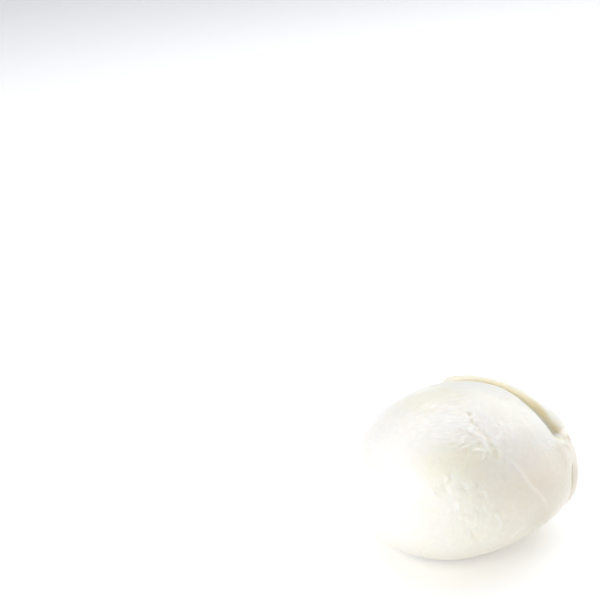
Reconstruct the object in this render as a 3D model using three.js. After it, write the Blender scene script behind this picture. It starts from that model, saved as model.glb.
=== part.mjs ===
// A hand-torn mozzarella ball of a quarter kilogram, in millimetres, +Z up, resting on z = 0.
// The curd was squeezed out between finger and thumb and pinched off at one end. The skin drawn in there
// stands up as a thin collar, and the ball bulges out in front of it, so a narrow fold opens between them.

import * as THREE from "three";
import { mergeVertices } from "three/addons/utils/BufferGeometryUtils.js";

// The ball as it lies: a round cake of curd that has sunk a little under its own weight.
const PLAN_RADIUS = 39.7;
const CORE_HALF_HEIGHT = 34.3;
const SINK = 3.5; // how far the underside would reach below the table if it weren't pressed flat
const FOOT_ROUNDING = 2; // half the height over which the pressed foot turns up into the side
const MEAN_RADIUS = 40; // turns a length along the skin into an angle at the middle of the ball

// Where the handling left the ball fuller (+) or flatter (-): the way it faces, by how much, and how tightly.
const SWELLS = [
  { towards: [0.81, -0.07, -0.58], share: 0.482, tightness: 3 },
  { towards: [0.64, -0.2, -0.74], share: -0.318, tightness: 4 },
  { towards: [-0.77, -0.39, -0.51], share: 0.069, tightness: 4 },
  { towards: [-0.4, 0.43, 0.81], share: -0.066, tightness: 5 },
];

// The pinch is at the back right, level with the middle of the ball. Angles about its axis are "turns",
// counted from straight up towards the front right, and the fold lies on a wide circle round it.
const PINCH_BEARING = 60; // degrees from +X towards +Y
const FOLD_OPENING = 66.5; // degrees between the pinch axis and the fold
const FOLD_DIP = { by: 15, at: 14, over: 30 }; // where the fold is drawn nearer to the pinch
const FOLD_FROM = { none: -120, full: -50 };
const FOLD_TO = { full: 118, none: 175 };

// The fold's mouth gapes steadily wider from the top of the ball to a torn corner at the right.
const MOUTH_START = -14;
const MOUTH_CORNER = 66;
const CORNER_LENGTH = 5; // degrees in which the mouth shuts
const SHUT_GAP = 0.4;
const MOUTH_GAP = 3.4;
const SHUT_DEPTH = 0.6;
const MOUTH_DEPTH = 2.8;
const SIDE_SLIT = { at: 91, over: 7, gap: 0.6, depth: 0.4 }; // a second, narrow parting lower down

// Just beyond the torn corner the mouth has grown shut, and the skin runs straight from lip to cheek.
const HEALED_FROM = { none: 64, full: 71 };
const HEALED_TO = { full: 80, none: 92 };

// The collar behind the fold. It starts at a short step on top of the ball and dies away slowly underneath.
const COLLAR_FROM = { none: -31, full: -25 };
const COLLAR_TO = { full: 105, none: 150 };
const COLLAR_HEIGHT = 2.4;
const COLLAR_THICKNESS = 4.2;
const COLLAR_PEAK = { at: 57, over: 22, height: 2.3 };
const CHEEK_SWELL = 0.5; // the bulge of the ball in front of the fold
const CHEEK_REACH = 12;
const COLLAR_REACH = 14;

// A raised crease in the skin down the front, from the shoulder to the lower right. Each of its points is
// an angle from the pinch axis and a turn about it, in degrees.
const CREASE_PATH = [
  [103.8, 21.9],
  [108, 31.4],
  [112, 46],
  [108.5, 64],
  [104, 77],
  [94.9, 95.4],
];
const CREASE_HEIGHT = 0.45;
const CREASE_HALF_WIDTH = 2.6;
const CREASE_HOLLOW = 0.4; // the hollow along the crease's upper side
const CREASE_FADE = 0.15; // the share of its length over which each end dies away

// The skin is drawn into a shallow dimple where the ball was pinched off.
const DIMPLE_DEPTH = 1.8;
const DIMPLE_RADIUS = 9;

// The unevenness of a ball formed by hand, as a sum of waves that cross it in all directions.
const WAVES = 24;
const LONGEST_WAVE = 60;
const SHORTEST_WAVE = 14;
const WAVE_BEND = 0.0012; // the curvature at each wave's crest, in 1/mm
const GOLDEN_TURN = Math.PI * (3 - Math.sqrt(5));

// The skin is laid out as rings about the pinch axis. They crowd together at the fold, and the slices
// between them crowd together at its mouth.
const SLICES = 92;
const BACK_RINGS = 9;
const FRONT_RINGS = 29;
const SLICE_CROWDING = 0.45;
const CROWDED_TURN = 50;

const deg = THREE.MathUtils.degToRad;
const up = new THREE.Vector3(0, 0, 1);
const pinch = new THREE.Vector3(Math.cos(deg(PINCH_BEARING)), Math.sin(deg(PINCH_BEARING)), 0);
const side = new THREE.Vector3().crossVectors(pinch, up);
const coreHeight = CORE_HALF_HEIGHT - SINK;

// 0 at "from", 1 at "to" and beyond, and a smooth S between them.
function rise(x, from, to) {
  const t = THREE.MathUtils.clamp((x - from) / (to - from), 0, 1);
  return t * t * (3 - 2 * t);
}

// 1 at "at", dying away on both sides over about "over".
function swell(x, at, over) {
  return Math.exp(-(((x - at) / over) ** 2));
}

// The way from the core to the point of the skin at an angle to the pinch axis and a turn about it.
function direction(angle, turn) {
  return new THREE.Vector3()
    .addScaledVector(pinch, Math.cos(angle))
    .addScaledVector(up, Math.sin(angle) * Math.cos(turn))
    .addScaledVector(side, Math.sin(angle) * Math.sin(turn));
}

// The ball without its fold and creases: a squat spheroid, swollen and flattened.
function ballPoint(towards) {
  const flat = Math.hypot(towards.x, towards.y) / PLAN_RADIUS;
  let radius = 1 / Math.hypot(flat, towards.z / CORE_HALF_HEIGHT);
  for (const { towards: way, share, tightness } of SWELLS) {
    const facing = new THREE.Vector3(...way).normalize().dot(towards);
    radius *= 1 + share * Math.exp(tightness * (facing - 1));
  }
  return towards.clone().multiplyScalar(radius);
}

function ballNormal(towards) {
  return new THREE.Vector3(
    towards.x / PLAN_RADIUS ** 2,
    towards.y / PLAN_RADIUS ** 2,
    towards.z / CORE_HALF_HEIGHT ** 2,
  ).normalize();
}

// The sizes of the fold at a turn, in degrees, about the pinch axis.
function foldAt(turn) {
  const shut = 1 - rise(turn, MOUTH_CORNER, MOUTH_CORNER + CORNER_LENGTH);
  const open = rise(turn, MOUTH_START, MOUTH_CORNER) * shut;
  const slit = swell(turn, SIDE_SLIT.at, SIDE_SLIT.over);
  const stands =
    rise(turn, COLLAR_FROM.none, COLLAR_FROM.full) * (1 - rise(turn, COLLAR_TO.full, COLLAR_TO.none));
  const peak = COLLAR_PEAK.height * swell(turn, COLLAR_PEAK.at, COLLAR_PEAK.over);
  return {
    angle: FOLD_OPENING - FOLD_DIP.by * swell(turn, FOLD_DIP.at, FOLD_DIP.over),
    strength:
      rise(turn, FOLD_FROM.none, FOLD_FROM.full) * (1 - rise(turn, FOLD_TO.full, FOLD_TO.none)),
    gap: SHUT_GAP + MOUTH_GAP * open + SIDE_SLIT.gap * slit,
    depth: SHUT_DEPTH + MOUTH_DEPTH * open + SIDE_SLIT.depth * slit,
    collar: stands * (COLLAR_HEIGHT + peak),
    healed:
      rise(turn, HEALED_FROM.none, HEALED_FROM.full) * (1 - rise(turn, HEALED_TO.full, HEALED_TO.none)),
  };
}

// The fold cut across, as [along the skin, height above it], from the collar's back to the ball's cheek.
// Along the skin, 0 is the cheek's edge and the front of the ball is positive.
function foldSection({ gap, depth, collar, healed }) {
  const crest = -gap - COLLAR_THICKNESS;
  const lip = [crest + COLLAR_THICKNESS * 0.6, collar * 0.78];
  const cheek = [CHEEK_REACH * 0.62, CHEEK_SWELL * 0.5];
  const stations = [
    [crest - COLLAR_REACH, 0],
    [crest - COLLAR_REACH * 0.6, collar * 0.24],
    [crest - COLLAR_REACH * 0.25, collar * 0.6],
    [crest, collar * 0.9],
    [crest + COLLAR_THICKNESS * 0.25, collar],
    lip,
    [-gap - 0.1, collar * 0.22],
    [-gap, -depth * 0.2],
    [-gap * 0.9, -depth * 0.7],
    [-gap * 0.68, -depth],
    [-gap * 0.32, -depth],
    [-gap * 0.12, -depth * 0.75],
    [0, -depth * 0.35],
    [0.35, -0.3],
    [1.4, CHEEK_SWELL * 0.5],
    [CHEEK_REACH * 0.3, CHEEK_SWELL],
    cheek,
    [CHEEK_REACH, 0],
  ];
  return stations.map(([along, height]) => {
    if (along <= lip[0] || along >= cheek[0]) return [along, height];
    const bridge = THREE.MathUtils.mapLinear(along, lip[0], cheek[0], lip[1], cheek[1]);
    return [along, THREE.MathUtils.lerp(height, bridge, healed)];
  });
}

const FOLD_RINGS = foldSection(foldAt(0)).length;
const RINGS = BACK_RINGS + FOLD_RINGS + FRONT_RINGS;

// Ring number and turn give the angle from the pinch axis and the height over the plain ball. Where the
// fold has died away, its rings lie evenly over the same stretch of skin.
function ringPlace(ring, turn) {
  const fold = foldAt(turn);
  const section = foldSection(fold);
  const [first, last] = [section[0][0], section[FOLD_RINGS - 1][0]];
  const angleOf = (along) => deg(fold.angle) + along / MEAN_RADIUS;
  if (ring < BACK_RINGS) return { angle: (angleOf(first) * ring) / BACK_RINGS, height: 0 };
  const step = ring - BACK_RINGS;
  if (step < FOLD_RINGS) {
    const even = THREE.MathUtils.lerp(first, last, step / (FOLD_RINGS - 1));
    const along = THREE.MathUtils.lerp(even, section[step][0], fold.strength);
    return { angle: angleOf(along), height: section[step][1] * fold.strength };
  }
  const done = (step - FOLD_RINGS + 1) / (FRONT_RINGS + 1);
  return { angle: THREE.MathUtils.lerp(angleOf(last), Math.PI, done), height: 0 };
}

// Waves spread evenly over all directions, each shorter and lower than the one before.
const waves = Array.from({ length: WAVES }, (_, i) => {
  const z = 1 - (2 * i + 1) / WAVES;
  const level = Math.sqrt(1 - z * z);
  const way = new THREE.Vector3(Math.cos(i * GOLDEN_TURN) * level, Math.sin(i * GOLDEN_TURN) * level, z);
  const length = LONGEST_WAVE * (SHORTEST_WAVE / LONGEST_WAVE) ** (i / (WAVES - 1));
  const number = (2 * Math.PI) / length;
  return { way: way.multiplyScalar(number), height: WAVE_BEND / number ** 2, phase: i * i };
});

function unevenness(point) {
  return waves.reduce((sum, w) => sum + w.height * Math.sin(w.way.dot(point) + w.phase), 0);
}

// The crease with the hollow beside it, as a height over the skin.
const creaseStations = 120;
const creaseCurve = new THREE.CatmullRomCurve3(
  CREASE_PATH.map(([angle, turn]) => ballPoint(direction(deg(angle), deg(turn)))),
);
const creaseLine = creaseCurve.getSpacedPoints(creaseStations);
function creaseRelief(point, normal) {
  let nearest = 0;
  creaseLine.forEach((p, i) => {
    if (p.distanceToSquared(point) < creaseLine[nearest].distanceToSquared(point)) nearest = i;
  });
  const share = nearest / creaseStations;
  const across = creaseCurve.getTangentAt(share).cross(normal).normalize();
  const beside = -new THREE.Vector3().subVectors(point, creaseLine[nearest]).dot(across);
  const ends = rise(share, 0, CREASE_FADE) * rise(share, 1, 1 - CREASE_FADE);
  const ridge = CREASE_HEIGHT * swell(beside, 0, CREASE_HALF_WIDTH);
  const hollow = CREASE_HOLLOW * swell(beside, CREASE_HALF_WIDTH * 1.7, CREASE_HALF_WIDTH) * (1 - share);
  return ends * (ridge - hollow);
}

// The table presses the underside flat: a height well under it becomes 0, and the foot's rim is rounded.
function pressed(z) {
  if (z >= FOOT_ROUNDING) return z;
  return z <= -FOOT_ROUNDING ? 0 : (z + FOOT_ROUNDING) ** 2 / (4 * FOOT_ROUNDING);
}

function skinPoint(ring, turn) {
  const { angle, height } = ringPlace(ring, THREE.MathUtils.radToDeg(turn));
  const towards = direction(angle, turn);
  const normal = ballNormal(towards);
  const point = ballPoint(towards);
  const dimple = DIMPLE_DEPTH * swell(angle * MEAN_RADIUS, 0, DIMPLE_RADIUS);
  const relief = height + creaseRelief(point, normal) - dimple + unevenness(point);
  point.addScaledVector(normal, relief);
  point.z = pressed(point.z + coreHeight);
  return point;
}

// A unit sphere's rings and slices are moved onto the skin. Its pole is +Y, which stands for the pinch axis.
function ballGeometry() {
  const sphere = new THREE.SphereGeometry(1, SLICES, RINGS);
  sphere.deleteAttribute("normal");
  sphere.deleteAttribute("uv");
  const geometry = mergeVertices(sphere);
  const place = geometry.getAttribute("position");
  const at = new THREE.Vector3();
  for (let i = 0; i < place.count; i++) {
    at.fromBufferAttribute(place, i);
    const ring = Math.round((Math.acos(THREE.MathUtils.clamp(at.y, -1, 1)) / Math.PI) * RINGS);
    const even = Math.atan2(at.x, at.z);
    const turn = even - SLICE_CROWDING * Math.sin(even) + deg(CROWDED_TURN);
    const wrapped = Math.atan2(Math.sin(turn), Math.cos(turn));
    place.setXYZ(i, ...skinPoint(ring, wrapped));
  }
  geometry.computeBoundingBox();
  const middle = geometry.boundingBox.getCenter(new THREE.Vector3());
  geometry.translate(-middle.x, -middle.y, 0);
  geometry.computeVertexNormals();
  return geometry;
}

const curd = new THREE.MeshStandardMaterial({ color: 0xf6f3ea, roughness: 0.38, metalness: 0 });
curd.name = "curd";
const ball = new THREE.Mesh(ballGeometry(), curd);
ball.name = "mozzarella_ball";

const part = new THREE.Group();
part.add(ball);
export default part;
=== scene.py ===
import bpy
import numpy as np
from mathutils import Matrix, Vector


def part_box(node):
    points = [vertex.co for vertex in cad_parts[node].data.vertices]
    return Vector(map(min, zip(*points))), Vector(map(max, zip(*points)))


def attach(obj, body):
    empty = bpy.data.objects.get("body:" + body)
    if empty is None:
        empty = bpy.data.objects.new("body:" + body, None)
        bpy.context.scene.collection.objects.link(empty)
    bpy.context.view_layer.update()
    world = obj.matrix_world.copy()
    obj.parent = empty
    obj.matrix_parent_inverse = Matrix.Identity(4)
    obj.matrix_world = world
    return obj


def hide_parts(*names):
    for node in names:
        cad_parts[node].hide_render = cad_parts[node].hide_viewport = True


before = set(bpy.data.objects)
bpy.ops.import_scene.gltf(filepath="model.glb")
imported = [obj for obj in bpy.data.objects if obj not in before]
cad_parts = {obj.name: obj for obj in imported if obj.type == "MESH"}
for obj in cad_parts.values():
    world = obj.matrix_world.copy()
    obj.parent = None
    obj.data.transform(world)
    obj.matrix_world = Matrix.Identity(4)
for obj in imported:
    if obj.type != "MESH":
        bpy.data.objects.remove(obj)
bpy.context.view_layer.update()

# ---------------------------------------------------------------------------------------------------------
# The plain ball. A quarter kilogram of fresh curd, squeezed out by hand into a squat round cake that has
# sunk a little under its own weight. Its skin is laid out by two angles: one from the pinch at the back
# right, where it was torn off, and a turn about that pinch, from straight up towards the front right.
# Its radii, its swells and the fold's place and heights are rounded results of a least squares fit to the
# ball's outline, not chosen sizes.

PLAN_RADIUS = 0.0397
CORE_HALF_HEIGHT = 0.0343
SINK = 0.0035
FOOT_ROUNDING = 0.002
MEAN_RADIUS = 0.040
PINCH_BEARING = np.radians(60)
SWELLS = (  # the way each swelling or flat faces, its share of the radius, and how tight it is
    ((0.81, -0.07, -0.58), 0.482, 3),
    ((0.64, -0.2, -0.74), -0.318, 4),
    ((-0.77, -0.39, -0.51), 0.069, 4),
    ((-0.4, 0.43, 0.81), -0.066, 5),
)

up = np.array([0.0, 0.0, 1.0])
pinch = np.array([np.cos(PINCH_BEARING), np.sin(PINCH_BEARING), 0.0])
side = np.cross(pinch, up)


def unit(vectors):
    """Each vector divided by its own length."""
    vectors = np.asarray(vectors, float)
    return vectors / np.linalg.norm(vectors, axis=-1, keepdims=True)


def rise(x, start, end):
    """0 up to start, 1 from end on, and an S curve, 3t^2 - 2t^3, between them."""
    t = np.clip((x - start) / (end - start), 0, 1)
    return t * t * (3 - 2 * t)


def between(x, up, down):
    """1 between two S curves: one rises over the span "up", and the other falls over the span "down"."""
    return rise(x, *up) * (1 - rise(x, *down))


def swell(x, at, over):
    """A bell curve of height 1 at "at", which falls to 1/e of it at "over" to either side."""
    return np.exp(-(((x - at) / over) ** 2))


def way_out(angle, turn):
    """The unit vector at an angle from the pinch axis, turned about that axis; both in radians."""
    out = np.cos(turn)[..., None] * up + np.sin(turn)[..., None] * side
    return np.cos(angle)[..., None] * pinch + np.sin(angle)[..., None] * out


def ball_point(way):
    """A squat spheroid's radius along each way, times one bell curve on the sphere for each swelling."""
    flat = np.hypot(way[..., 0], way[..., 1]) / PLAN_RADIUS
    radius = 1 / np.hypot(flat, way[..., 2] / CORE_HALF_HEIGHT)
    for towards, share, tightness in SWELLS:
        radius = radius * (1 + share * np.exp(tightness * (way @ unit(towards) - 1)))
    return radius[..., None] * way


def ball_normal(way):
    """The spheroid's gradient: each coordinate over the square of its own radius, made a unit vector."""
    return unit(way / np.array([PLAN_RADIUS, PLAN_RADIUS, CORE_HALF_HEIGHT]) ** 2)


# The fold. The skin was drawn in at the pinch and stands up behind the ball's cheek as a thin collar. The
# mouth between the two gapes wider from the top of the ball to a torn corner at the right.

FOLD_OPENING = 66.5
DIP, DIP_AT, DIP_OVER = 15, 14, 30
FOLD_FROM = (-120, -50)
FOLD_TO = (118, 175)
MOUTH_START = -14
MOUTH_CORNER = 66
CORNER_LENGTH = 5
SHUT_GAP, MOUTH_GAP = 0.0004, 0.0034
SHUT_DEPTH, MOUTH_DEPTH = 0.0006, 0.0028
HEALED_FROM, HEALED_TO = (64, 71), (80, 92)  # where the mouth has grown shut
SLIT_AT, SLIT_OVER, SLIT_GAP, SLIT_DEPTH = 91, 7, 0.0006, 0.0004
COLLAR_FROM = (-31, -25)
COLLAR_TO = (105, 150)
COLLAR_HEIGHT = 0.0024
COLLAR_THICKNESS = 0.0042
PEAK_AT, PEAK_OVER, PEAK_HEIGHT = 57, 22, 0.0023
CHEEK_SWELL, CHEEK_REACH, COLLAR_REACH = 0.0005, 0.012, 0.014
EDGE_RAGGEDNESS = 0.00022  # how far the torn edges of the collar wander up and down
EDGE_WANDER = ((1, 0.0035, 11), (0.5, 0.0012, 12))  # share, cell and seed of each layer of noise
WALL_SHADED_FROM, WALL_SHADED_TO = (-30, 12), (42, 62)  # where the collar's inner wall gets the most painted shade
CORNER_AT, CORNER_OVER = 65, 4
UPPER_WALL_SHADE = (0, 0.3, 0.2)  # painted shade all round the inner wall, more over the shaded stretch, and at the torn corner
LOWER_WALL_SHADE = (0.5, 0.5, 0.15)
FOOT_SHADE = 0.4
SHADE_SHOWS = (0.25, 0.75)  # painted shade under the first doesn't show, and over the second it shows in full
SLIT_LIGHTER, SLIT_LIGHTER_FROM = 0.5, (75, 85)  # the slit gets less painted shade by this share


def curd_noise(place, cell, seed):
    """Random heights from -1 to 1 at the corners of cubic cells, joined by S curves along each axis."""
    heights = np.random.default_rng(seed).uniform(-1, 1, (32, 32, 32))
    low = np.floor(place / cell).astype(int)
    share = place / cell - low
    share = share * share * (3 - 2 * share)
    total = np.zeros(place.shape[:-1])
    for corner in np.ndindex(2, 2, 2):
        weight = np.prod(np.where(corner, share, 1 - share), axis=-1)
        total += weight * heights[tuple(np.moveaxis((low + corner) % 32, -1, 0))]
    return total


def layered_noise(place, layers):
    """Curd noise of several sizes added up: each layer's share, times the noise of its cell and seed."""
    return sum(share * curd_noise(place, cell, seed) for share, cell, seed in layers)


def fold_sizes(turn):
    """The fold at each turn, from S curves and bells: angle, strength, gap, depth and collar height.

    Turn and angle are in degrees, and the strength is a share.
    """
    shut = 1 - rise(turn, MOUTH_CORNER, MOUTH_CORNER + CORNER_LENGTH)
    gape = rise(turn, MOUTH_START, MOUTH_CORNER) * shut
    slit = swell(turn, SLIT_AT, SLIT_OVER)
    stands = between(turn, COLLAR_FROM, COLLAR_TO)
    peak = PEAK_HEIGHT * swell(turn, PEAK_AT, PEAK_OVER)
    angle = FOLD_OPENING - DIP * swell(turn, DIP_AT, DIP_OVER)
    strength = between(turn, FOLD_FROM, FOLD_TO)
    gap = SHUT_GAP + MOUTH_GAP * gape + SLIT_GAP * slit
    depth = SHUT_DEPTH + MOUTH_DEPTH * gape + SLIT_DEPTH * slit
    return angle, strength, gap, depth, stands * (COLLAR_HEIGHT + peak)


def fold_section(gap, depth, collar, wall_shaded, cornered):
    """The fold cut across, from collar's back to cheek: stations along the skin, heights, painted shade.

    Each height is a share of the collar, the gap's depth or the cheek's swell, and the painted shade on the
    inner wall is a constant plus shares of the shaded stretch and of the torn corner.
    """
    crest = -gap - COLLAR_THICKNESS
    none = np.zeros_like(gap)
    upper, lower = (
        everywhere + on_shaded_wall * wall_shaded + at_corner * cornered
        for everywhere, on_shaded_wall, at_corner in (UPPER_WALL_SHADE, LOWER_WALL_SHADE)
    )
    stations = [
        (crest - COLLAR_REACH, none, 0),
        (crest - COLLAR_REACH * 0.6, collar * 0.24, 0),
        (crest - COLLAR_REACH * 0.25, collar * 0.6, 0),
        (crest, collar * 0.9, 0),
        (crest + COLLAR_THICKNESS * 0.25, collar, 0),
        (crest + COLLAR_THICKNESS * 0.6, collar * 0.78, upper),
        (-gap - 0.0001, collar * 0.22, lower),
        (-gap, -depth * 0.2, FOOT_SHADE),
        (-gap * 0.9, -depth * 0.7, 0),
        (-gap * 0.68, -depth, 0),
        (-gap * 0.32, -depth, 0),
        (-gap * 0.12, -depth * 0.75, 0),
        (none, -depth * 0.35, 0),
        (none + 0.00035, none - 0.0003, 0),
        (none + 0.0014, none + CHEEK_SWELL * 0.5, 0),
        (none + CHEEK_REACH * 0.3, none + CHEEK_SWELL, 0),
        (none + CHEEK_REACH * 0.62, none + CHEEK_SWELL * 0.5, 0),
        (none + CHEEK_REACH, none, 0),
    ]
    return tuple(np.array([none + station[part] for station in stations]) for part in range(3))


def smooth_through(stations, steps):
    """A Catmull-Rom curve through the stations along the first axis, with so many steps to each span."""
    padded = np.concatenate([stations[:1], stations, stations[-1:]])
    t = (np.arange(steps) / steps).reshape(-1, *[1] * (stations.ndim - 1))
    spans = []
    for a, b, c, d in zip(padded[:-3], padded[1:-2], padded[2:-1], padded[3:]):
        square, cube = 2 * a - 5 * b + 4 * c - d, 3 * b - a - 3 * c + d
        spans.append(0.5 * (2 * b + (c - a) * t + square * t**2 + cube * t**3))
    return np.concatenate([*spans, stations[-1:]])


# The skin's rings about the pinch and the slices across them. Rings crowd together at the fold, and slices
# at its mouth, so the thin edges are finely divided.

SLICES = 400
BACK_RINGS = 34
STEPS_PER_STATION = 4
FRONT_RINGS = 124
SLICE_CROWDING = 0.45
CROWDED_TURN = np.radians(50)

even_turn = np.linspace(-np.pi, np.pi, SLICES, endpoint=False)
slice_turn = even_turn - SLICE_CROWDING * np.sin(even_turn) + CROWDED_TURN
slice_turn = np.arctan2(np.sin(slice_turn), np.cos(slice_turn))
slice_degrees = np.degrees(slice_turn)
fold_angle, fold_strength, gap, depth, collar = fold_sizes(slice_degrees)

edge_line = MEAN_RADIUS * np.stack([np.cos(slice_turn), np.sin(slice_turn), 0 * slice_turn], -1)
ragged = layered_noise(edge_line, EDGE_WANDER)
collar = collar + EDGE_RAGGEDNESS * ragged * rise(collar, 0, COLLAR_HEIGHT)

# The collar's inner wall gets painted shade, most over this stretch of turns and at the torn corner.
wall_shaded = between(slice_degrees, WALL_SHADED_FROM, WALL_SHADED_TO)
cornered = swell(slice_degrees, CORNER_AT, CORNER_OVER)
station_along, station_height, station_shade = fold_section(gap, depth, collar, wall_shaded, cornered)

# Where the mouth has grown shut, a straight bridge of skin joins the collar's lip to the cheek.
LIP, CHEEK = 5, 16  # the stations on either side of the mouth
mouth = slice(LIP, CHEEK + 1)
healed = between(slice_degrees, HEALED_FROM, HEALED_TO)
across = (station_along[mouth] - station_along[LIP]) / (station_along[CHEEK] - station_along[LIP])
bridge = station_height[LIP] + (station_height[CHEEK] - station_height[LIP]) * across
station_height[mouth] += (bridge - station_height[mouth]) * healed

along = smooth_through(station_along, STEPS_PER_STATION)
height = smooth_through(station_height, STEPS_PER_STATION) * fold_strength
open_fold = (1 - healed) * (1 - SLIT_LIGHTER * rise(slice_degrees, *SLIT_LIGHTER_FROM)) * fold_strength
shade = rise(smooth_through(station_shade, STEPS_PER_STATION), *SHADE_SHOWS) * open_fold
evenly = along[0] + (along[-1] - along[0]) * np.linspace(0, 1, len(along))[:, None]
along = evenly + (along - evenly) * fold_strength
fold_rings = np.radians(fold_angle) + along / MEAN_RADIUS

back_share = np.linspace(0, 1, BACK_RINGS + 1)[1:-1, None]
front_share = np.linspace(0, 1, FRONT_RINGS + 2)[1:-1, None]
ring_angle = np.concatenate([
    back_share * fold_rings[0],
    fold_rings,
    fold_rings[-1] + (np.pi - fold_rings[-1]) * front_share,
])
fold_place = slice(len(back_share), len(back_share) + len(fold_rings))
fold_height = np.zeros_like(ring_angle)
fold_height[fold_place] = height
fold_shade = np.zeros_like(ring_angle)
fold_shade[fold_place] = shade


def with_poles(rings, first=0.0, last=0.0):
    """The rings' values one after another, between a value for the pinch and one for the front left.

    These two points are the poles, and they close the skin.
    """
    return np.concatenate([[first], rings.ravel(), [last]])


ring_count = len(ring_angle)
angle = with_poles(ring_angle, last=np.pi)
turn = with_poles(np.tile(slice_turn, ring_count))
fold_height = with_poles(fold_height)
fold_shade = with_poles(fold_shade)
way = way_out(angle, turn)
skin = ball_point(way)
normal = ball_normal(way)

# The unevenness of a ball formed by hand: slow waves that cross it in all directions, and a dimple where
# it was pinched off.

WAVES, LONGEST_WAVE, SHORTEST_WAVE = 24, 0.060, 0.014
WAVE_BEND = 1.2  # the curvature at each wave's crest, in 1/m
GOLDEN_TURN = np.pi * (3 - np.sqrt(5))
DIMPLE_DEPTH, DIMPLE_RADIUS = 0.0018, 0.009


def unevenness(points):
    """A sum of sine waves, whose ways lie evenly over the sphere.

    Each is shorter than the one before and bends as sharply at its crest, and each starts as many
    radians along as its own number squared.
    """
    i = np.arange(WAVES)
    z = 1 - (2 * i + 1) / WAVES
    level = np.sqrt(1 - z * z)
    number = 2 * np.pi / (LONGEST_WAVE * (SHORTEST_WAVE / LONGEST_WAVE) ** (i / (WAVES - 1)))
    ways = np.stack([np.cos(i * GOLDEN_TURN) * level, np.sin(i * GOLDEN_TURN) * level, z]) * number
    return np.sin(points @ ways + i**2) @ (WAVE_BEND / number**2)


relief = unevenness(skin) - DIMPLE_DEPTH * swell(angle * MEAN_RADIUS, 0, DIMPLE_RADIUS)

# The marks of the hands in the skin: creases, thin raised folds, dents and fibres drawn out towards the
# pinch. Each mark is a bell curve across a line on the skin and dies away at both ends of it. The lines'
# points were picked one by one and converted to angles, and their heights and widths were chosen.

CREASES = (  # height (negative for a groove), half width, and the line as (angle, turn) pairs in degrees
    (-0.0008, 0.0008, ((105, 20), (104.3, 21.8), (104.7, 23.2))),
    (-0.0007, 0.0009, ((106.8, 24.6), (108.8, 27.8), (109.3, 31.7))),
    (-0.00032, 0.0010, ((110.0, 33), (110.6, 41), (111.9, 46.7))),
    (-0.00052, 0.0009, ((111.5, 45), (113.2, 50), (114.3, 52.3), (114.4, 56))),
    (0.00042, 0.0009, ((114.9, 29), (114.1, 32.5), (113.8, 36))),
    (0.00028, 0.0013, ((113.5, 37), (114.8, 45), (116.5, 49.5))),
    (-0.0003, 0.0005, ((127.5, 19.0), (121.5, 25.4), (118, 29.2))),
    (-0.00034, 0.0006, ((118.2, 28.9), (116.6, 33), (115.9, 36.7))),
    (-0.0003, 0.0010, ((117.4, 39), (118.2, 43.6))),
    (0.00035, 0.0006, ((127.4, 30.2), (123, 33))),
    (-0.0002, 0.0006, ((127.9, 31.7), (122.1, 36.7))),
    (0.00035, 0.0006, ((129.1, 34.1), (123.4, 37.2))),
    (-0.00035, 0.0007, ((127, 37.6), (126.1, 40.6))),
    (0.0004, 0.0006, ((124.2, 41.2), (118.6, 45), (118.9, 47.3))),
    (0.0003, 0.0006, ((119.9, 45.6), (120.5, 48.4), (122.5, 50.1))),
    (-0.0002, 0.0006, ((112.5, 55), (112.8, 59), (114.2, 62.9))),
    (-0.0002, 0.0006, ((116.6, 54.4), (118.4, 61.8), (116.8, 65.1), (113.5, 66.5))),
    (0.0004, 0.0008, ((109.6, 59.8), (107.8, 64), (104.9, 76), (99.5, 86.3), (95.1, 94))),
    (-0.00012, 0.0009, ((110.8, 61), (109.8, 66), (106.6, 77))),
    (-0.0002, 0.0006, ((107.5, 19), (109.9, 17.1), (117.7, 12.9))),
    (-0.0003, 0.0006, ((115, 1.3), (108.2, 8.1), (107.9, 12.6))),
    (0.0002, 0.0006, ((105.1, 2.3), (108.3, 13.7))),
    (0.00016, 0.0007, ((144.5, 40.3), (144.8, 44.7), (146.7, 47.6))),
    (-0.00009, 0.0007, ((142.3, 43.9), (143.4, 50.9))),
    (-0.00025, 0.0009, ((148.8, 49.8), (148.4, 58.5))),
    (-0.0003, 0.0009, ((140.7, 58.4), (139.4, 60.8))),
    (-0.0003, 0.0009, ((132.4, 60.7), (132.5, 64.2))),
    (0.00022, 0.0009, ((156.2, 43.6), (155.6, 58.4))),
    (0.0003, 0.0006, ((132.2, 67.9), (129.7, 69.6), (129.8, 76.9))),
    (0.0003, 0.0009, ((145.5, 71), (146, 76))),
    (0.00026, 0.0009, ((150.7, 73), (151.2, 79))),
    (0.0003, 0.0006, ((128.6, 84.7), (125.5, 90), (124.7, 95.5), (126.5, 99.2))),
    (0.00018, 0.0006, ((138.2, 87.2), (137.6, 100.5))),
    (-0.0003, 0.0007, ((140.9, 97.6), (137.1, 105.8), (132.8, 112.2))),
    (0.00024, 0.0016, ((116.4, 108.3), (112.4, 103.6), (108.6, 99.1))),
    (-0.0006, 0.0010, ((69, 64.5), (66.5, 67.5), (65, 70.5))),
    (-0.0004, 0.0005, ((66, 69), (62.5, 72), (61, 75), (61.5, 79))),
    (-0.0004, 0.0005, ((60.5, 70), (58, 74), (57.4, 77.4), (59, 80.4))),
    (0.0003, 0.0006, ((68.5, 71), (65.5, 74), (64, 78), (64.5, 83))),
)


MARK_STEPS = 8
MARK_TAIL = 3  # half widths from a mark's ends past which nothing of it is left
WAVER_REACH, WAVER_CELL, WAVER_SEEDS = 0.00055, 0.0022, (41, 42, 43)  # how marks wander from their lines

wander = np.stack([curd_noise(skin, WAVER_CELL, seed) for seed in WAVER_SEEDS], -1)
wavering = skin + WAVER_REACH * wander


def mark_line(pairs):
    """A smooth curve through the (angle, turn) pairs, on the plain ball."""
    return smooth_through(ball_point(way_out(*np.radians(np.array(pairs, float)).T)), MARK_STEPS)


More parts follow.
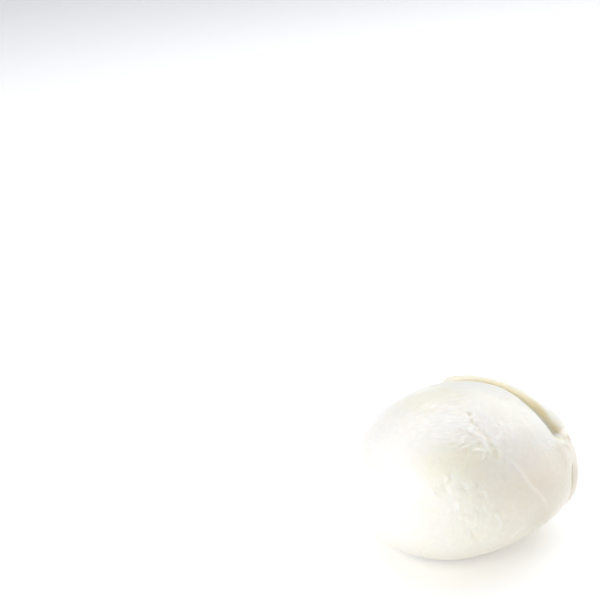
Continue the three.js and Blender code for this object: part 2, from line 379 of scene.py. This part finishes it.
def press_mark(relief, line, height, half_width):
    """Adds a bell curve of the distance to the line, times the square root of a half sine along it."""
    reach = np.linalg.norm(line - line.mean(0), axis=1).max() + MARK_TAIL * half_width
    near = np.nonzero(np.linalg.norm(skin - line.mean(0), axis=1) < reach)[0]
    away = np.linalg.norm(wavering[near, None] - line[None], axis=2)
    share = (away.argmin(1) + 0.5) / len(line)
    relief[near] += height * np.sin(np.pi * share) ** 0.5 * swell(away.min(1), 0, half_width)


marks = np.zeros(len(skin))
for mark_height, half_width, pairs in CREASES:
    press_mark(marks, mark_line(pairs), mark_height, half_width)

# Fine unevenness of the stretched skin: soft lumps, and fibres that run from the pinch round the ball, so
# they're long along the angle and short across it.

LUMPS = ((0.00014, 0.011, 21), (0.00010, 0.0055, 22), (0.00005, 0.0026, 23))  # height, cell and seed
FIBRE_CELL = (0.014, 0.0011)  # along and across
FIBRE_HEIGHT, FIBRE_SEED = 0.000018, 24

fine = layered_noise(skin, LUMPS)
fibre_place = np.stack([
    angle * MEAN_RADIUS / FIBRE_CELL[0],
    np.sin(angle) * np.cos(turn) * MEAN_RADIUS / FIBRE_CELL[1],
    np.sin(angle) * np.sin(turn) * MEAN_RADIUS / FIBRE_CELL[1],
], -1)
fine += FIBRE_HEIGHT * curd_noise(fibre_place, 1.0, FIBRE_SEED)


# Where the skin was handled most: drawn into streaks at the top left of the crease, torn into short lines
# to the right of it, and pulled down into fibres at the lower left. Each place is a soft round patch.

STREAKED = ((1, 112, 2, 0.015), (0.75, 124, 30, 0.009))  # share, angle and turn in degrees, and reach
HATCHED = ((1, 104, 44, 0.0085),)
FIBROUS = ((1, 150, 95, 0.013),)
KNEADED = (
    (1, 128, 98, 0.012),
    (0.6, 142, 55, 0.012),
    (0.4, 86, -22, 0.010),
    (0.35, 130, 76, 0.013),
)
HANDLED_LUMPS = ((0.00026, 0.0060, 50), (0.00017, 0.0034, 51), (0.00011, 0.0018, 52))


def patches(places):
    """For each place, its share times a bell curve of the distance from it, on the plain sphere."""
    share, angle_at, turn_at, reach = np.array(places, float).T
    middles = way_out(np.radians(angle_at), np.radians(turn_at))
    return share * np.exp((way @ middles.T - 1) * 2 * (MEAN_RADIUS / reach) ** 2)


streaked = patches(STREAKED).max(1)
hatched = patches(HATCHED).sum(1)
fibrous = patches(FIBROUS).sum(1)
handled = np.clip(streaked + hatched + patches(KNEADED).sum(1), 0, 1)
fine += handled * layered_noise(skin, HANDLED_LUMPS)


def pressed(z):
    """Heights under -rounding become 0, heights over it stay, and a parabola joins the two."""
    rounded = (z + FOOT_ROUNDING) ** 2 / (4 * FOOT_ROUNDING)
    return np.where(z >= FOOT_ROUNDING, z, np.where(z <= -FOOT_ROUNDING, 0, rounded))


points = skin + (fold_height + relief + marks + fine)[:, None] * normal
points[:, 2] = pressed(points[:, 2] + CORE_HALF_HEIGHT - SINK)
low, high = (np.array(corner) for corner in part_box("mozzarella_ball"))
middle = (points.min(0) + points.max(0)) / 2
points[:, :2] += (low + high)[:2] / 2 - middle[:2]

# How yellow, dull or white each point is. Painted shade makes the fold, the grooves, a band under the
# shoulder, the lower right edge and the torn corner yellower and duller. The skin is yellower towards the
# bottom, and so are a dry patch and some blotches on the upper left. Painted highlights make the lip of the
# collar, the raised folds and a few patches whiter.

DRY_WAY, DRY_TIGHTNESS, DRY_LEAST = (-0.35, -0.1, 0.93), 9, 0.35
DRY_MOTTLE, DRY_SHOWS = ((1, 0.004, 31), (0.6, 0.0017, 32)), (-0.2, 1.1)
BLOTCHED = ((1, 93, 2, 0.0045), (1, 83, -24, 0.006))
BLOTCH_EDGES, BLOTCH_SHOWS = ((1, 0.0017, 33), (0.6, 0.0009, 34)), (0.0, 0.8)
# Painted shade: a band under the shoulder, the lower right edge and the torn corner are darker, and the
# band is yellower too.
SHADE_BAND = ((1, 125, 46, 0.008), (1.3, 133, 41, 0.009))
SHADED = ((1, 88, 92, 0.007), (3.5, 97, 104, 0.007))
TORN = ((1, 66, 68, 0.004),)
YELLOWED = ((0.7, 100, -20, 0.010), (0.35, 147, 30, 0.009), (0.4, 91, -6, 0.010))
# Painted light: whiter patches, the largest on the brightly lit front left.
HIGHLIGHT_PATCHES = (
    (0.35, 148, 62, 0.007),
    (0.3, 100, -20, 0.010),
    (0.3, 76, 12, 0.009),
    (0.2, 91, -6, 0.009),
    (0.3, 95, 48, 0.006),
    (0.42, 172, -40, 0.018),
)
GROOVE_DEPTHS, RIDGE_HEIGHTS = (0.00003, 0.0004), (0.00006, 0.0003)
LIP_HEIGHTS, LOWER_SKIN = (0.0008, 0.002), (0.040, 0.049)
GROOVE_SHADE_CREAM, DRY_CREAM, BLOTCH_CREAM, SHADE_BAND_CREAM = 0.38, 0.4, 0.8, 0.3
LOWER_CREAM, TORN_SHADE_CREAM, LIP_CREAM = 0.3, 0.25, 0.85
LIP_DRY_UNTIL = (10, 40)
LIP_HIGHLIGHT_FROM, LIP_HIGHLIGHT_TO, LIP_HIGHLIGHT_HEALED = (25, 50), (76, 92), 0.5
RIDGE_HIGHLIGHT, TORN_HIGHLIGHT_CUT = 0.4, 0.9
TORN_SHADOW, BLOTCH_SHADOW = 2, 1.4

turned = np.degrees(turn)
# The fold's painted shade, only where the collar stands.
painted_fold_shade = fold_shade * between(turned, COLLAR_FROM, COLLAR_TO)
# Painted shade in the grooves: they are yellower.
grooves = rise(-marks, *GROOVE_DEPTHS)
ridges = rise(marks, *RIDGE_HEIGHTS)
lip = rise(fold_height, *LIP_HEIGHTS)
darkened = patches(SHADE_BAND).sum(1)
# The torn corner where the mouth ends gets painted shade: darker and yellower, with less painted highlight.
torn = patches(TORN).sum(1)
shadowed = darkened + patches(SHADED).sum(1) + TORN_SHADOW * torn

blotches = np.clip(patches(BLOTCHED).sum(1), 0, 1) * rise(layered_noise(skin, BLOTCH_EDGES), *BLOTCH_SHOWS)
dry_patch = np.exp(DRY_TIGHTNESS * (way @ unit(DRY_WAY) - 1))
dry_patch *= DRY_LEAST + rise(layered_noise(skin, DRY_MOTTLE), *DRY_SHOWS)
lower_skin = 1 - rise(points[:, 2], *LOWER_SKIN)
dry_lip = lip * (1 - rise(turned, *LIP_DRY_UNTIL))
cream = patches(YELLOWED).sum(1)
for share, kept in (
    (GROOVE_SHADE_CREAM, grooves),
    (DRY_CREAM, dry_patch),
    (BLOTCH_CREAM, blotches),
    (SHADE_BAND_CREAM, darkened),
    (LOWER_CREAM, lower_skin),
    (TORN_SHADE_CREAM, torn),
    (LIP_CREAM, dry_lip),
):
    cream += share * kept
cream = np.clip(cream, 0, 1)

# Painted highlights on the collar's lip, on the raised folds and in those patches.
grown_shut = between(turned, HEALED_FROM, HEALED_TO)
lip_highlight = lip * between(turned, LIP_HIGHLIGHT_FROM, LIP_HIGHLIGHT_TO) * (1 - LIP_HIGHLIGHT_HEALED * grown_shut)
skin_highlight = RIDGE_HIGHLIGHT * ridges + patches(HIGHLIGHT_PATCHES).sum(1)
painted_light = np.maximum(lip_highlight, skin_highlight) * (1 - TORN_HIGHLIGHT_CUT * torn)


def ball_mesh(name, points, ring_count, slices):
    """Quads between neighbouring rings and a fan of triangles at either pole, all facing outwards."""
    ring = np.arange(ring_count - 1)[:, None] * slices + 1
    here, there = np.arange(slices), (np.arange(slices) + 1) % slices
    corners = [ring + here, ring + slices + here, ring + slices + there, ring + there]
    quads = np.stack(corners, -1).reshape(-1, 4)
    first = np.stack([0 * here, 1 + here, 1 + there], -1)
    start = (ring_count - 1) * slices + 1
    last = np.stack([0 * here + len(points) - 1, start + there, start + here], -1)
    mesh = bpy.data.meshes.new(name)
    mesh.from_pydata(points.tolist(), [], first.tolist() + quads.tolist() + last.tolist())
    mesh.polygons.foreach_set("use_smooth", np.ones(len(mesh.polygons), bool))
    mesh.update()
    return mesh


mesh = ball_mesh("mozzarella_skin", points, ring_count, SLICES)
shares = {
    "painted_fold_shade": painted_fold_shade,
    "cream": cream,
    "painted_light": painted_light,
    "streaked": streaked,
    "hatched": hatched,
    "fibrous": fibrous,
    "handled": handled,
    "darkened": shadowed + BLOTCH_SHADOW * blotches,
}
for attribute, values in shares.items():
    layer = mesh.attributes.new(attribute, "FLOAT", "POINT")
    layer.data.foreach_set("value", values.astype(np.float32))
ball = bpy.data.objects.new("mozzarella_skin", mesh)
bpy.context.scene.collection.objects.link(ball)

# The curd itself: a moist, milky white that light enters and leaves a few millimetres away, under a thin
# film of whey that gives it a soft shine.

CURD_WHITE_LIGHT = (0.80, 0.78, 0.722, 1)
CURD_WHITE_DARK = (0.725, 0.705, 0.645, 1)
CURD_CREAM = (0.75, 0.71, 0.54, 1)
HIGHLIGHT_WHITE = (0.90, 0.89, 0.84, 1)
FOLD_SHADE = (0.74, 0.665, 0.445, 1)
GRAIN_SCALE, MOTTLE_SCALE, DARKENED_SHARE = 750, 420, 0.5
GRAIN_STRENGTH, GRAIN_DEPTH = 0.45, 0.0004

curd = bpy.data.materials.new("curd")
curd.use_nodes = True
nodes, links = curd.node_tree.nodes, curd.node_tree.links
shader = nodes["Principled BSDF"]
shader.inputs["Roughness"].default_value = 0.3
shader.inputs["IOR"].default_value = 1.5
shader.inputs["Subsurface Weight"].default_value = 0.6
shader.inputs["Subsurface Radius"].default_value = (1.0, 0.8, 0.6)
shader.inputs["Subsurface Scale"].default_value = 0.004

place = nodes.new("ShaderNodeTexCoord")


def noise_texture(scale, detail, turned=0.0, stretch=(1, 1, 1)):
    """A noise on the object's coordinates, stretched along axes turned about Z by some degrees."""
    aim = nodes.new("ShaderNodeMapping")
    aim.vector_type = "TEXTURE"
    aim.inputs["Rotation"].default_value = (0, 0, np.radians(turned))
    aim.inputs["Scale"].default_value = [long / scale for long in stretch]
    links.new(place.outputs["Object"], aim.inputs["Vector"])
    texture = nodes.new("ShaderNodeTexNoise")
    texture.inputs["Scale"].default_value = 1
    texture.inputs["Detail"].default_value = detail
    links.new(aim.outputs["Vector"], texture.inputs["Vector"])
    return texture.outputs["Fac"]


def blended(share, first, second):
    """A colour mix node from first to second by a share; each may be a colour or a socket."""
    mix = nodes.new("ShaderNodeMix")
    mix.data_type = "RGBA"
    mix.clamp_factor = False
    links.new(share, mix.inputs["Factor"])
    for socket, value in ((mix.inputs[6], first), (mix.inputs[7], second)):
        if isinstance(value, tuple):
            socket.default_value = value
        else:
            links.new(value, socket)
    return mix.outputs[2]


def attribute_share(name):
    """The value of one of the skin's own attributes."""
    reader = nodes.new("ShaderNodeAttribute")
    reader.attribute_name = name
    return reader.outputs["Fac"]


def worked_out(operation, first, second):
    """A sum or a product of two values, each of them a number or a socket."""
    step = nodes.new("ShaderNodeMath")
    step.operation = operation
    for socket, value in zip(step.inputs, (first, second)):
        if isinstance(value, (int, float)):
            socket.default_value = value
        else:
            links.new(value, socket)
    return step.outputs["Value"]


DRAWN_SKIN = (  # where, relief, shadow, and the noise that draws it: scale, detail, turned, stretched
    ("streaked", 2.4, 3.0, noise_texture(750, 2, 6, (5, 1, 1))),
    ("hatched", 2.0, 3.0, noise_texture(900, 2, -45, (5, 1, 1))),
    ("fibrous", 1.5, 0.9, noise_texture(900, 2, 0, (1, 1, 7))),
    ("handled", 0.8, 1.6, noise_texture(330, 3)),
)
relief_height = noise_texture(GRAIN_SCALE, 4)
shadow = noise_texture(MOTTLE_SCALE, 3)
for where, relief_share, shadow_share, drawn in DRAWN_SKIN:
    lines = worked_out("MULTIPLY", attribute_share(where), worked_out("ADD", drawn, -0.5))
    relief_height = worked_out("ADD", relief_height, worked_out("MULTIPLY", lines, relief_share))
    shadow = worked_out("ADD", shadow, worked_out("MULTIPLY", lines, shadow_share))

# Painted shade: the band under the shoulder, the lower right edge and the torn corner darken the colour,
# and so do the blotches.
shadow = worked_out("ADD", shadow, worked_out("MULTIPLY", attribute_share("darkened"), DARKENED_SHARE))
colour = blended(shadow, CURD_WHITE_LIGHT, CURD_WHITE_DARK)
colour = blended(attribute_share("cream"), colour, CURD_CREAM)
colour = blended(attribute_share("painted_light"), colour, HIGHLIGHT_WHITE)
colour = blended(attribute_share("painted_fold_shade"), colour, FOLD_SHADE)
links.new(colour, shader.inputs["Base Color"])

bump = nodes.new("ShaderNodeBump")
bump.inputs["Strength"].default_value = GRAIN_STRENGTH
bump.inputs["Distance"].default_value = GRAIN_DEPTH
links.new(relief_height, bump.inputs["Height"])
links.new(bump.outputs["Normal"], shader.inputs["Normal"])
mesh.materials.append(curd)

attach(ball, "root")
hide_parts("mozzarella_ball")

# ---------------------------------------------------------------------------------------------------------
# The floor: a plain white matt table top that the ball lies on. It gives off a little light of its own,
# so that it stays white all round the ball.

FLOOR_SIDE = 6.0
FLOOR_WHITE = (0.95, 0.95, 0.95, 1)
FLOOR_GLOW = 0.15

bpy.ops.mesh.primitive_plane_add(size=FLOOR_SIDE)
floor = bpy.context.active_object
floor.name = "floor"
floor_paint = bpy.data.materials.new("floor_paint")
floor_paint.use_nodes = True
paint = floor_paint.node_tree.nodes["Principled BSDF"]
paint.inputs["Base Color"].default_value = FLOOR_WHITE
paint.inputs["Roughness"].default_value = 0.9
paint.inputs["Emission Color"].default_value = (1, 1, 1, 1)
paint.inputs["Emission Strength"].default_value = FLOOR_GLOW
floor.data.materials.append(floor_paint)

# ---------------------------------------------------------------------------------------------------------
# Studio light: eight square soft boxes in a ring about the ball and over it, the strongest low on the
# front left, and white walls all round. The boxes' places were chosen, but their powers and colours are
# rounded results of a least squares fit to the ball's tones.

BALL_MIDDLE = Vector((0, 0, 0.033))
BOX_DISTANCE, BOX_SIDE = 1.0, 0.7
WALL_LIGHT = 0.35
SOFT_BOXES = (  # name, bearing from +X towards +Y and height in degrees, power in watts, colour
    ("light_right", 0, 8, 2.9, (1.0, 0.73, 0.58)),
    ("light_back_right", 45, 8, 2.9, (0.69, 0.92, 1.0)),
    ("light_front_left", 225, 8, 7.9, (0.70, 0.74, 1.0)),
    ("light_high_back_right", 60, 38, 2.6, (1.0, 0.97, 0.80)),
    ("light_high_front_left", 240, 38, 2.3, (1.0, 0.96, 0.50)),
    ("light_high_left", 180, 38, 1.4, (1.0, 0.91, 0.85)),
    ("light_over_right", 30, 65, 2.2, (0.56, 0.64, 1.0)),
    ("light_over_back", 120, 65, 4.2, (0.79, 0.85, 1.0)),
)

for name, bearing, up_angle, power, colour in SOFT_BOXES:
    bearing, up_angle = np.radians(bearing), np.radians(up_angle)
    level = np.cos(up_angle)
    towards = Vector((level * np.cos(bearing), level * np.sin(bearing), np.sin(up_angle)))
    light = bpy.data.lights.new(name, "AREA")
    light.size = BOX_SIDE
    light.energy = power
    light.color = colour
    stand = bpy.data.objects.new(name, light)
    stand.location = BALL_MIDDLE + towards * BOX_DISTANCE
    stand.rotation_mode = "QUATERNION"
    stand.rotation_quaternion = towards.to_track_quat("Z", "Y")
    bpy.context.scene.collection.objects.link(stand)

walls = bpy.data.worlds.new("white_walls")
walls.use_nodes = True
walls.node_tree.nodes["Background"].inputs["Color"].default_value = (1, 1, 1, 1)
walls.node_tree.nodes["Background"].inputs["Strength"].default_value = WALL_LIGHT
bpy.context.scene.world = walls
bpy.context.scene.view_settings.view_transform = "Standard"

# ---------------------------------------------------------------------------------------------------------
# The camera: a long lens 0.6 m away, 30 degrees above the table. It is swung so that the ball lies low
# and to the right in a square picture.

CAMERA_DISTANCE = 0.6
CAMERA_ELEVATION = np.radians(30)
LENS, SENSOR = 89, 36
PICTURE_SIDE = 600
BALL_IN_PICTURE = (464.3, 462.3)

back = Vector((0, -np.cos(CAMERA_ELEVATION), np.sin(CAMERA_ELEVATION)))
focal_pixels = LENS / SENSOR * PICTURE_SIDE
ray = Vector((
    (BALL_IN_PICTURE[0] - PICTURE_SIDE / 2) / focal_pixels,
    -(BALL_IN_PICTURE[1] - PICTURE_SIDE / 2) / focal_pixels,
    -1,
))
swing = ray.rotation_difference(Vector((0, 0, -1)))
lens = bpy.data.cameras.new("camera")
lens.lens = LENS
lens.sensor_width = SENSOR
lens.clip_start = 0.01
camera = bpy.data.objects.new("camera", lens)
camera.rotation_mode = "QUATERNION"
camera.location = BALL_MIDDLE + back * CAMERA_DISTANCE
camera.rotation_quaternion = back.to_track_quat("Z", "Y") @ swing
bpy.context.scene.collection.objects.link(camera)
bpy.context.scene.camera = camera

bpy.context.view_layer.update()
